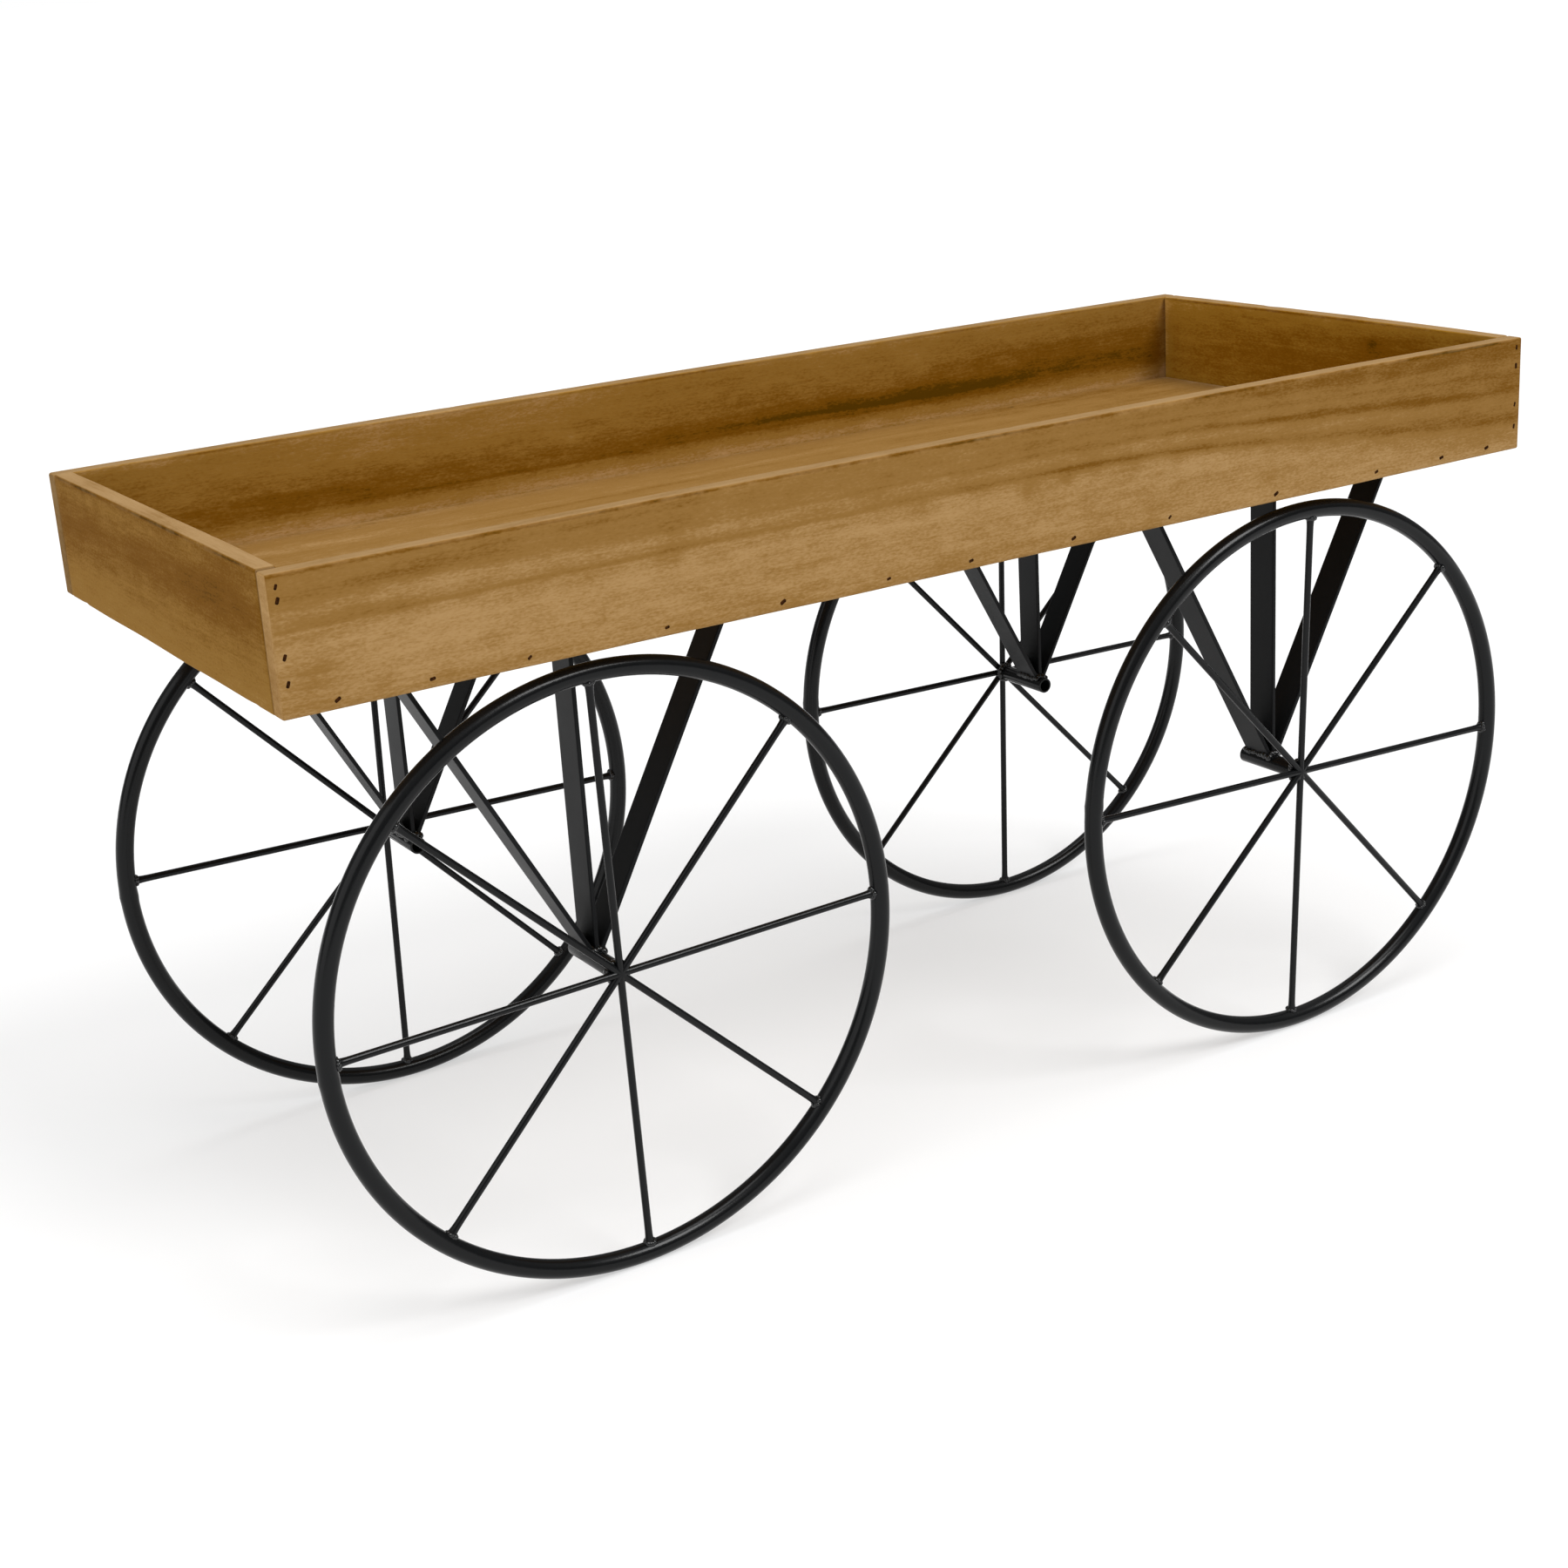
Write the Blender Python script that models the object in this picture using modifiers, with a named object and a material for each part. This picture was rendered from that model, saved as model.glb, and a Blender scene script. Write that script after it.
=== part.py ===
# Wooden wagon: a shallow stained tray carried by four welded steel wheels.
# Metres, +Z up.  The origin is on the ground under the middle of the wagon,
# +X runs along the tray and +Y from the front side to the back side.

import math

import bmesh
import bpy
from mathutils import Vector

# Tray
TRAY_LENGTH = 1.000        # outside, along X
TRAY_WIDTH = 0.405         # outside, along Y
SIDE_HEIGHT = 0.084        # height of the four upright boards
SIDE_BOARD = 0.013         # thickness of the two long boards
END_BOARD = 0.013          # thickness of the two short boards
FLOOR_BOARD = 0.015        # thickness of the floor, flush with the boards' lower edges
BOARD_ROUND = 0.002        # radius of the eased board edges
BOARD_ROUND_STEPS = 2

# Wheels
WHEEL_RADIUS = 0.2075      # ground to hub, so to the outside of the rim
RIM_BAR = 0.013            # round bar of the rim
SPOKE_BAR = 0.005          # round bar of the spokes
HUB_SETBACK = 0.206        # from an end of the tray in to the hubs, along X
WHEEL_INSET = 0.0175       # from a long side of the tray in to the wheels' plane, along Y
TRAY_OVER_WHEEL = 0.010    # from the top of a rim up to the tray
SPOKE_COUNT = 8
# How far each wheel's spokes are turned from upright where they are welded on, in degrees,
# counter-clockwise as seen from the front.
WHEEL_TURN = {
    "front_left": 1.2,
    "front_right": -2.2,
    "back_left": -1.5,
    "back_right": -1.5,
}

# Stub axle: a short open tube welded to the back of the spokes
STUB_BAR = 0.0127
STUB_WALL = 0.0016
STUB_REACH = 0.060         # from the wheel's plane to the tube's open end

# Legs: three flat bars that fan out from each stub axle to the tray
LEG_WIDTH = 0.025          # along Y
LEG_THICKNESS = 0.003
LEG_SPREAD = 28.3          # between neighbouring legs, in degrees
LEG_SETBACK = 0.029        # from the wheel's plane to the legs' outer edges
FOOT_LENGTH = 0.028        # bent foot that lies under the tray
FOOT_BEND = 0.003          # inner radius of the bend
FOOT_BEND_STEPS = 5

GAP = 0.0003               # between pieces that touch

RIM_STEPS = 64
RIM_BAR_STEPS = 12
SPOKE_SIDES = 12
STUB_SIDES = 24

# Values that follow from the sizes above
TRAY_UNDERSIDE = 2 * WHEEL_RADIUS + TRAY_OVER_WHEEL
HUB_X = TRAY_LENGTH / 2 - HUB_SETBACK
WHEEL_Y = TRAY_WIDTH / 2 - WHEEL_INSET
RIM_CENTRE_RADIUS = WHEEL_RADIUS - RIM_BAR / 2
RIM_INNER_RADIUS = (RIM_CENTRE_RADIUS - RIM_BAR / 2) * math.cos(math.pi / RIM_STEPS)
SPOKE_END = RIM_INNER_RADIUS - GAP
SPOKE_STEP = 2 * math.pi / SPOKE_COUNT

WOOD_FRONT = (0.402, 0.231, 0.080)
WOOD_BACK = (0.195, 0.095, 0.016)
WOOD_LEFT = (0.238, 0.125, 0.022)
WOOD_RIGHT = (0.130, 0.053, 0.003)
WOOD_FLOOR = (0.376, 0.216, 0.078)
BLACK_PAINT = (0.012, 0.012, 0.013)


def clear_scene():
    for item in list(bpy.data.objects):
        bpy.data.objects.remove(item, do_unlink=True)


def new_collection(name):
    collection = bpy.data.collections.new(name)
    bpy.context.scene.collection.children.link(collection)
    return collection


def make_material(name, colour, roughness, metallic):
    material = bpy.data.materials.new(name)
    material.use_nodes = True
    shader = material.node_tree.nodes["Principled BSDF"]
    shader.inputs["Base Color"].default_value = (*colour, 1.0)
    shader.inputs["Roughness"].default_value = roughness
    shader.inputs["Metallic"].default_value = metallic
    return material


def adopt(item, name, collection, parent, colour, roughness=0.45, metallic=0.0):
    """Name a new object, put it in the collection and give it its own material."""
    item.name = name
    item.data.name = name
    for owner in list(item.users_collection):
        owner.objects.unlink(item)
    collection.objects.link(item)
    item.parent = parent
    item.data.materials.append(make_material(name, colour, roughness, metallic))
    return item


def add_empty(name, collection, location, rotation=(0, 0, 0), parent=None):
    empty = bpy.data.objects.new(name, None)
    empty.empty_display_size = 0.03
    empty.location = location
    empty.rotation_euler = rotation
    empty.parent = parent
    collection.objects.link(empty)
    return empty


def shade_round(item):
    item.data.shade_smooth()
    item.data.set_sharp_from_angle(angle=math.radians(40))


def add_board(name, size, centre, collection, parent, colour):
    """A board with eased edges; size and centre are in the wagon's own axes."""
    bpy.ops.mesh.primitive_cube_add(size=1, location=centre)
    board = bpy.context.object
    board.scale = size
    bpy.ops.object.transform_apply(location=False, rotation=False, scale=True)
    eased = board.modifiers.new("eased_edges", "BEVEL")
    eased.width = BOARD_ROUND
    eased.segments = BOARD_ROUND_STEPS
    eased.limit_method = "NONE"
    return adopt(board, name, collection, parent, colour, roughness=0.6)


def add_tray(collection):
    tray = add_empty("tray", collection, (0, 0, TRAY_UNDERSIDE))
    upright_centre = SIDE_HEIGHT / 2
    side_size = (TRAY_LENGTH, SIDE_BOARD, SIDE_HEIGHT)
    side_y = (TRAY_WIDTH - SIDE_BOARD) / 2
    inside_width = TRAY_WIDTH - 2 * SIDE_BOARD - 2 * GAP
    inside_length = TRAY_LENGTH - 2 * END_BOARD - 2 * GAP
    end_size = (END_BOARD, inside_width, SIDE_HEIGHT)
    end_x = (TRAY_LENGTH - END_BOARD) / 2
    add_board("side_board_front", side_size, (0, -side_y, upright_centre), collection, tray, WOOD_FRONT)
    add_board("side_board_back", side_size, (0, side_y, upright_centre), collection, tray, WOOD_BACK)
    add_board("end_board_left", end_size, (-end_x, 0, upright_centre), collection, tray, WOOD_LEFT)
    add_board("end_board_right", end_size, (end_x, 0, upright_centre), collection, tray, WOOD_RIGHT)
    floor_size = (inside_length, inside_width, FLOOR_BOARD)
    add_board("floor_board", floor_size, (0, 0, FLOOR_BOARD / 2), collection, tray, WOOD_FLOOR)


def add_rim(name, collection, hub):
    bpy.ops.mesh.primitive_torus_add(
        major_radius=RIM_CENTRE_RADIUS, minor_radius=RIM_BAR / 2,
        major_segments=RIM_STEPS, minor_segments=RIM_BAR_STEPS,
        location=(0, 0, 0), rotation=(math.pi / 2, 0, 0))
    rim = bpy.context.object
    shade_round(rim)
    adopt(rim, name, collection, hub, BLACK_PAINT)


def spoke_mesh():
    """A round bar from the hub's axis out to the rim along +Z, mitred to a wedge at the hub.

    The two mitre faces lie half a gap inside the planes midway to the neighbouring
    spokes, so that any number of spokes meet at the hub without touching.
    """
    bar = bmesh.new()
    bmesh.ops.create_cone(
        bar, cap_ends=True, segments=SPOKE_SIDES,
        radius1=SPOKE_BAR / 2, radius2=SPOKE_BAR / 2, depth=SPOKE_END)
    bmesh.ops.translate(bar, verts=bar.verts, vec=(0, 0, SPOKE_END / 2))
    half_step = SPOKE_STEP / 2
    for side in (-1, 1):
        normal = Vector((side * math.cos(half_step), 0, -math.sin(half_step)))
        cut = bmesh.ops.bisect_plane(
            bar, geom=bar.verts[:] + bar.edges[:] + bar.faces[:],
            plane_co=-normal * GAP / 2, plane_no=normal, clear_outer=True)
        rim_of_cut = [part for part in cut["geom_cut"] if isinstance(part, bmesh.types.BMEdge)]
        bmesh.ops.edgeloop_fill(bar, edges=rim_of_cut)
    mesh = bpy.data.meshes.new("spoke")
    bar.to_mesh(mesh)
    bar.free()
    return mesh


def add_spokes(prefix, collection, spider):
    """The first spoke lies level to the right, the rest follow counter-clockwise."""
    pattern = spoke_mesh()
    for step in range(SPOKE_COUNT):
        spoke = bpy.data.objects.new("spoke", pattern.copy())
        spoke.rotation_euler = (0, math.pi / 2 - step * SPOKE_STEP, 0)
        collection.objects.link(spoke)
        shade_round(spoke)
        adopt(spoke, f"{prefix}_spoke_{step + 1}", collection, spider, BLACK_PAINT)
    bpy.data.meshes.remove(pattern)


def add_stub_axle(name, collection, hub, inboard):
    """An open tube from the back of the spokes towards the middle of the wagon."""
    start = SPOKE_BAR / 2 + GAP
    length = STUB_REACH - start
    bpy.ops.mesh.primitive_cylinder_add(
        vertices=STUB_SIDES, radius=STUB_BAR / 2, depth=length, end_fill_type="NOTHING",
        location=(0, inboard * (start + length / 2), 0), rotation=(math.pi / 2, 0, 0))
    stub = bpy.context.object
    wall = stub.modifiers.new("wall", "SOLIDIFY")
    wall.thickness = STUB_WALL
    wall.offset = -1
    shade_round(stub)
    adopt(stub, name, collection, hub, BLACK_PAINT)


def across(heading):
    """Unit vector to the left of a heading."""
    return Vector((-heading.y, heading.x))


def leg_end():
    """Radius and half width of a leg at its welded end: on the stub axle, clear of its neighbours.

    Where the bars are too thick to stand side by side on the tube, their corners are cut
    back to half a gap from the planes midway between them.
    """
    half_spread = math.radians(LEG_SPREAD) / 2
    seat = STUB_BAR / 2 + GAP
    spare = (GAP / 2) / math.cos(half_spread)
    room = seat * math.tan(half_spread) - spare
    half = LEG_THICKNESS / 2
    if room >= half:
        return [(seat, half)]
    return [(seat, room), ((half + spare) / math.tan(half_spread), half)]


def leg_outline(lean, foot_side):
    """A leg seen from the front: up along its lean, round the bend and along its foot."""
    heading = Vector((math.sin(lean), math.cos(lean)))
    foot_heading = Vector((foot_side, 0))
    half = LEG_THICKNESS / 2
    foot_height = TRAY_UNDERSIDE - GAP - half - WHEEL_RADIUS
    corner = heading * (foot_height / math.cos(lean))
    turn = heading.angle_signed(foot_heading)      # clockwise is positive
    side = math.copysign(1.0, turn)
    centre_radius = FOOT_BEND + half
    bend_start = corner - heading * centre_radius * math.tan(abs(turn) / 2)
    bend_centre = bend_start - side * centre_radius * across(heading)
    stations = [(heading * radius, heading, width) for radius, width in leg_end()]
    for step in range(FOOT_BEND_STEPS + 1):
        swing = turn * step / FOOT_BEND_STEPS
        lie = Vector((math.sin(lean + swing), math.cos(lean + swing)))
        stations.append((bend_centre + side * centre_radius * across(lie), lie, half))
    stations.append((corner + foot_heading * FOOT_LENGTH, foot_heading, half))
    left = [point + width * across(lie) for point, lie, width in stations]
    right = [point - width * across(lie) for point, lie, width in stations]
    return left + right[::-1]


def add_leg(name, lean, foot_side, collection, hub, inboard):
    """A flat bar from the stub axle up to the tray, with its foot bent along the tray's length."""
    outline = leg_outline(lean, foot_side)
    curve = bpy.data.curves.new(name, "CURVE")
    curve.dimensions = "2D"
    curve.fill_mode = "BOTH"
    curve.extrude = LEG_WIDTH / 2
    spline = curve.splines.new("POLY")
    spline.points.add(len(outline) - 1)
    for point, place in zip(spline.points, outline):
        point.co = (place.x, place.y, 0, 1)
    spline.use_cyclic_u = True
    leg = bpy.data.objects.new(name, curve)
    collection.objects.link(leg)
    leg.location = (0, inboard * (LEG_SETBACK + LEG_WIDTH / 2), 0)
    leg.rotation_euler = (math.pi / 2, 0, 0)
    adopt(leg, name, collection, hub, BLACK_PAINT)


def add_legs(prefix, along, collection, hub, inboard):
    """The outer legs turn their feet outwards, the middle one towards the wagon's middle."""
    spread = math.radians(LEG_SPREAD)
    add_leg(prefix + "_leg_left", -spread, -1, collection, hub, inboard)
    add_leg(prefix + "_leg_middle", 0.0, -along, collection, hub, inboard)
    add_leg(prefix + "_leg_right", spread, 1, collection, hub, inboard)


def add_wheel(side_name, side, end_name, along, collection):
    prefix = f"{side_name}_{end_name}"
    inboard = -side
    place = (along * HUB_X, side * WHEEL_Y, WHEEL_RADIUS)
    hub = add_empty(prefix + "_hub", collection, place)
    turn = math.radians(WHEEL_TURN[prefix])
    spider = add_empty(prefix + "_spider", collection, (0, 0, 0), (0, -turn, 0), hub)
    add_rim(prefix + "_rim", collection, hub)
    add_spokes(prefix, collection, spider)
    add_stub_axle(prefix + "_stub_axle", collection, hub, inboard)
    add_legs(prefix, along, collection, hub, inboard)


def main():
    clear_scene()
    wagon = new_collection("wooden_wagon")
    add_tray(wagon)
    for side_name, side in (("front", -1), ("back", 1)):
        for end_name, along in (("left", -1), ("right", 1)):
            add_wheel(side_name, side, end_name, along, wagon)


main()
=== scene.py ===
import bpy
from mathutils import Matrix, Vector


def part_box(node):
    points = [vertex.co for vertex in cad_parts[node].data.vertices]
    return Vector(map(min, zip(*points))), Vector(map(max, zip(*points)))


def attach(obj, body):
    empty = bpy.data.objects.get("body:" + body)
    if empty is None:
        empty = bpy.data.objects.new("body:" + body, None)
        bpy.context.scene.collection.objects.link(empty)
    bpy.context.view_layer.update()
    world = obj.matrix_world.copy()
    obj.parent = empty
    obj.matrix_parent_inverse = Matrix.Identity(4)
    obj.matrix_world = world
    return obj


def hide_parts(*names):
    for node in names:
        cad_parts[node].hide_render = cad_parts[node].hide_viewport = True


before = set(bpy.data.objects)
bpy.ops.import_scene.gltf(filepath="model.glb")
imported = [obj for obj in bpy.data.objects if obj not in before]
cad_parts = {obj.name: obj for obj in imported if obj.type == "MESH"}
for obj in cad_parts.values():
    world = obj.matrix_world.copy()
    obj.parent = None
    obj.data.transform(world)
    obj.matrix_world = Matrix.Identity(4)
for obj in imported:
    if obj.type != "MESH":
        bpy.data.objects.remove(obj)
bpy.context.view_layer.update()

import math
from random import Random

import bmesh
import bpy
from mathutils import Matrix, Vector, noise

print("frame loaded:", len(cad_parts), "nodes")


def arithmetic(operation, swapped=False):
    def combine(self, other):
        return self.sheet.maths(operation, *((other, self) if swapped else (self, other)))
    return combine


class Wire:
    # an output socket that takes part in plain arithmetic
    def __init__(self, sheet, socket):
        self.sheet = sheet
        self.socket = socket

    def out(self, name):
        return Wire(self.sheet, self.socket.node.outputs[name])

    def __neg__(self):
        return self * -1.0

    __add__ = arithmetic("ADD")
    __radd__ = arithmetic("ADD", swapped=True)
    __sub__ = arithmetic("SUBTRACT")
    __rsub__ = arithmetic("SUBTRACT", swapped=True)
    __mul__ = arithmetic("MULTIPLY")
    __rmul__ = arithmetic("MULTIPLY", swapped=True)
    __truediv__ = arithmetic("DIVIDE")
    __rtruediv__ = arithmetic("DIVIDE", swapped=True)


class Sheet:
    # a node tree, with one way of adding a node to it
    def __init__(self, tree):
        self.tree = tree

    def node(self, kind, inputs=None, output=0, **settings):
        made = self.tree.nodes.new(kind)
        for name, value in settings.items():
            if name == "stops":
                self.setStops(made.color_ramp, value)
            else:
                setattr(made, name, value)
        for name, value in (inputs or {}).items():
            if isinstance(value, Wire):
                self.tree.links.new(value.socket, made.inputs[name])
            else:
                made.inputs[name].default_value = value
        return Wire(self, made.outputs[output]) if made.outputs else None

    def setStops(self, ramp, stops):
        ramp.interpolation = "EASE"
        while len(ramp.elements) < len(stops):
            ramp.elements.new(0.5)
        for element, (position, colour) in zip(ramp.elements, stops):
            element.position = position
            element.color = colour if isinstance(colour, tuple) else (colour, colour, colour, 1.0)

    def maths(self, operation, *values):
        return self.node("ShaderNodeMath", dict(enumerate(values)), operation=operation)

    def smooth(self, value, low, high):
        return self.node(
            "ShaderNodeMapRange", {"Value": value, "From Min": low, "From Max": high},
            interpolation_type="SMOOTHSTEP")

    def bell(self, value):
        return self.maths("EXPONENT", -(value * value))

    def clamp(self, value):
        return self.node("ShaderNodeClamp", {"Value": value})

    def parts(self, vector):
        split = self.node("ShaderNodeSeparateXYZ", {"Vector": vector})
        return split, split.out("Y"), split.out("Z")

    def join(self, x, y, z):
        return self.node("ShaderNodeCombineXYZ", {"X": x, "Y": y, "Z": z})

    def cloud(self, vector, scale=1.0, detail=2.0, roughness=0.5):
        return self.node(
            "ShaderNodeTexNoise",
            {"Vector": vector, "Scale": scale, "Detail": detail, "Roughness": roughness})

    def tint(self, factor, first, second):
        return self.node(
            "ShaderNodeMix", {0: factor, 6: first, 7: second}, output=2, data_type="RGBA")

    def place(self):
        return self.node("ShaderNodeTexCoord", output="Object")

    def normal(self):
        return self.parts(self.node("ShaderNodeNewGeometry", output="Normal"))

    def bump(self, strength, distance, height):
        return self.node(
            "ShaderNodeBump", {"Strength": strength, "Distance": distance, "Height": height})

    def chance(self, low, high, seed):
        # a number of its own for each instance
        return self.node(
            "FunctionNodeRandomValue", {2: low, 3: high, "Seed": seed}, output=1, data_type="FLOAT")

    def shapeOf(self, source):
        return self.node("GeometryNodeObjectInfo", {"Object": source}, output="Geometry")


def screenColour(red, green, blue):
    # a colour as a screen shows it, 0 to 255, in scene values
    def linear(value):
        value /= 255
        return value / 12.92 if value <= 0.04045 else ((value + 0.055) / 1.055) ** 2.4
    return (linear(red), linear(green), linear(blue), 1.0)


def newMaterial(name, constants):
    material = bpy.data.materials.new(name)
    material.use_nodes = True
    shader = material.node_tree.nodes["Principled BSDF"]
    for socket, value in constants.items():
        shader.inputs[socket].default_value = value
    return material, Sheet(material.node_tree), shader


def feed(sheet, shader, wires):
    for name, wire in wires.items():
        sheet.tree.links.new(wire.socket, shader.inputs[name])


# One dictionary for each board.  The grain runs along the board, and a place across it is the share
# of the way from the top edge down, or from the front to the back.  rings gives how dark the wood
# is, 0 to 1, across the board.  Between the two ends of bend the rings sink by drop and spread by
# stretch.  streaks are (along, across, reach along, reach across, strength) and follow the bend;
# patches are the same but stay straight, and those that lighten the tray's back right corner are
# painted light.  rise and crown lift the top edge, evenly and towards the middle.  stain, topStain
# and endStain scale the tones on the outer, top and end faces, and the inside tint scales them on the
# inner faces as painted warm bounce light in the tray's shade.  blotch is the strength of the broad
# blotches, and seam how dark the painted shade at the joints at the ends is.
boards = {
    "front": {
        "node": "side_board_front", "slot": "side_wood", "along": 0, "seed": 3,
        "rise": 0.0005, "crown": 0.002, "stain": (0.86, 0.865, 0.86), "insideBounceTint": (1.03, 1.02, 1.0),
        "topStain": 0.64, "endStain": 1.0, "seam": 0.0, "blotch": 0.22,
        "rings": [
            (0.0, 0.46), (0.12, 0.4), (0.2, 0.44), (0.3, 0.33), (0.39, 0.36), (0.43, 0.22), (0.55, 0.14),
            (0.8, 0.15), (1.0, 0.26)],
        "bend": (0.1, 0.53), "drop": 0.0425, "stretch": 0.75,
        "streaks": [
            (0.1, 0.395, 0.2, 0.034, 0.27), (0.42, 0.39, 0.13, 0.045, 0.22),
            (-0.33, 0.395, 0.16, 0.02, 0.16), (0.3, 0.245, 0.24, 0.03, 0.34),
            (-0.1, 0.25, 0.16, 0.014, 0.12), (0.34, 0.05, 0.2, 0.06, 0.22), (0.24, 0.15, 0.3, 0.022, 0.14),
            (-0.41, 0.15, 0.07, 0.05, 0.24), (-0.3, 0.09, 0.1, 0.02, 0.12), (-0.44, 0.35, 0.03, 0.04, 0.18),
            (-0.36, 0.29, 0.16, 0.08, -0.16)],
        "patches": [
            (-0.238, 0.31, 0.012, 0.12, 0.16), (-0.478, 0.72, 0.016, 0.16, 0.16),
            (0.03, 0.5, 0.008, 0.07, 0.14), (0.062, 0.47, 0.007, 0.07, 0.16),
            (0.115, 0.52, 0.012, 0.07, 0.12), (-0.245, 0.5, 0.012, 0.08, 0.1), (0.49, 0.5, 0.09, 1.2, 0.12),
            (0.1, 0.75, 0.3, 0.3, 0.05), (-0.06, 0.5, 0.01, 0.09, 0.08)],
    },
    "back": {
        "node": "side_board_back", "slot": "side_wood", "along": 0, "seed": 11,
        "rise": 0.001, "crown": 0.0012, "stain": (0.88, 0.88, 0.84), "insideBounceTint": (1.03, 1.02, 1.0),
        "topStain": 0.6, "endStain": 0.58, "seam": 0.0, "blotch": 0.26,
        "rings": [
            (0.0, 0.24), (0.1, 0.44), (0.2, 0.5), (0.34, 0.58), (0.44, 0.62), (0.52, 0.7), (0.62, 0.72),
            (0.7, 0.58), (0.76, 0.36), (0.82, 0.2), (1.0, 0.14)],
        "bend": (-0.4, 0.1), "drop": -0.02, "stretch": 0.02,
        "streaks": [
            (0.2, 0.56, 0.19, 0.08, 0.22), (0.18, 0.6, 0.14, 0.026, 0.3), (0.1, 0.665, 0.24, 0.022, 0.2),
            (-0.22, 0.66, 0.16, 0.018, 0.12), (-0.335, 0.53, 0.06, 0.06, 0.12)],
        "patches": [
            (0.46, 0.36, 0.1, 0.26, 0.14), (0.32, 0.34, 0.09, 0.12, 0.12), (-0.47, 0.2, 0.03, 0.3, 0.18),
            (-0.2, 0.22, 0.16, 0.16, -0.16), (-0.105, 0.43, 0.005, 0.05, -0.18),
            (0.22, 0.25, 0.012, 0.14, -0.12), (-0.125, 0.36, 0.02, 0.1, -0.1),
            # painted light: the last patch lightens the back board at its right end, against the shade in
            # the corner with the right board
            (0.487, 0.5, 0.007, 1.5, -0.24)],
    },
    "left": {
        "node": "end_board_left", "slot": "end_wood", "along": 1, "seed": 23,
        "rise": 0.0018, "crown": 0.0004, "stain": (0.96, 0.95, 0.7), "insideBounceTint": (1.1, 1.07, 1.0),
        "topStain": 0.7, "endStain": 0.8, "seam": 0.45, "blotch": 0.24,
        "rings": [
            (0.0, 0.58), (0.1, 0.62), (0.18, 0.58), (0.3, 0.68), (0.42, 0.7), (0.55, 0.62), (0.68, 0.54),
            (0.85, 0.46), (1.0, 0.42)],
        "bend": (-0.3, 0.3), "drop": -0.08, "stretch": 0.1,
        "streaks": [],
        "patches": [
            (0.12, 0.4, 0.06, 0.16, 0.08), (-0.09, 0.36, 0.085, 0.24, 0.1), (-0.14, 0.18, 0.045, 0.2, 0.08),
            (0.02, 0.28, 0.05, 0.14, 0.05)],
    },
    "right": {
        "node": "end_board_right", "slot": "end_wood", "along": 1, "seed": 37,
        "rise": 0.0009, "crown": 0.0008, "stain": (0.92, 0.92, 0.84), "insideBounceTint": (1.27, 1.21, 0.72),
        "topStain": 0.68, "endStain": 0.8, "seam": 0.12, "blotch": 0.24,
        "rings": [
            (0.0, 0.38), (0.1, 0.56), (0.2, 0.68), (0.32, 0.7), (0.45, 0.74), (0.6, 0.72), (0.72, 0.68),
            (0.85, 0.58), (1.0, 0.38)],
        "bend": (-0.3, 0.3), "drop": 0.06, "stretch": 0.05,
        "streaks": [],
        "patches": [
            # painted light: the first patch and the last one lighten the right board towards its back end,
            # against the shade in the corner with the back board
            (0.17, 0.4, 0.07, 0.6, -0.16), (-0.15, 0.5, 0.08, 0.6, 0.08),
            (-0.06, 0.225, 0.0045, 0.042, 0.22), (-0.06, 0.225, 0.016, 0.1, 0.12),
            (0.087, 0.09, 0.004, 0.04, 0.16), (0.15, 0.075, 0.003, 0.03, 0.16),
            (0.19, 0.5, 0.008, 1.5, -0.4)],
    },
    "floor": {
        "node": "floor_board", "slot": "floor_wood", "along": 0, "seed": 51,
        "rise": 0.0, "crown": 0.0, "stain": (0.85, 0.87, 0.9), "endStain": 0.8,
        "seam": 0.35, "blotch": 0.22,
        "rings": [
            (0.0, 0.24), (0.14, 0.36), (0.22, 0.24), (0.34, 0.34), (0.42, 0.24), (0.55, 0.36), (0.62, 0.26),
            (0.72, 0.28), (0.82, 0.38), (0.88, 0.28), (0.95, 0.4), (1.0, 0.3)],
        "bend": (0.0, 0.5), "drop": -0.03, "stretch": 0.04,
        "streaks": [(0.1, 0.9, 0.3, 0.012, 0.12), (-0.1, 0.84, 0.26, 0.01, 0.12)],
        "patches": [
            (0.34, 0.5, 0.3, 1.4, 0.14), (0.4, 0.93, 0.12, 0.07, 0.1), (-0.16, 0.88, 0.1, 0.05, 0.08),
            # painted light: the last patch lightens the floor along its right end, against the shade where
            # it meets the right board
            (-0.46, 0.95, 0.04, 0.06, 0.16), (0.486, 0.5, 0.009, 2.0, -0.3)],
    },
}

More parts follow.
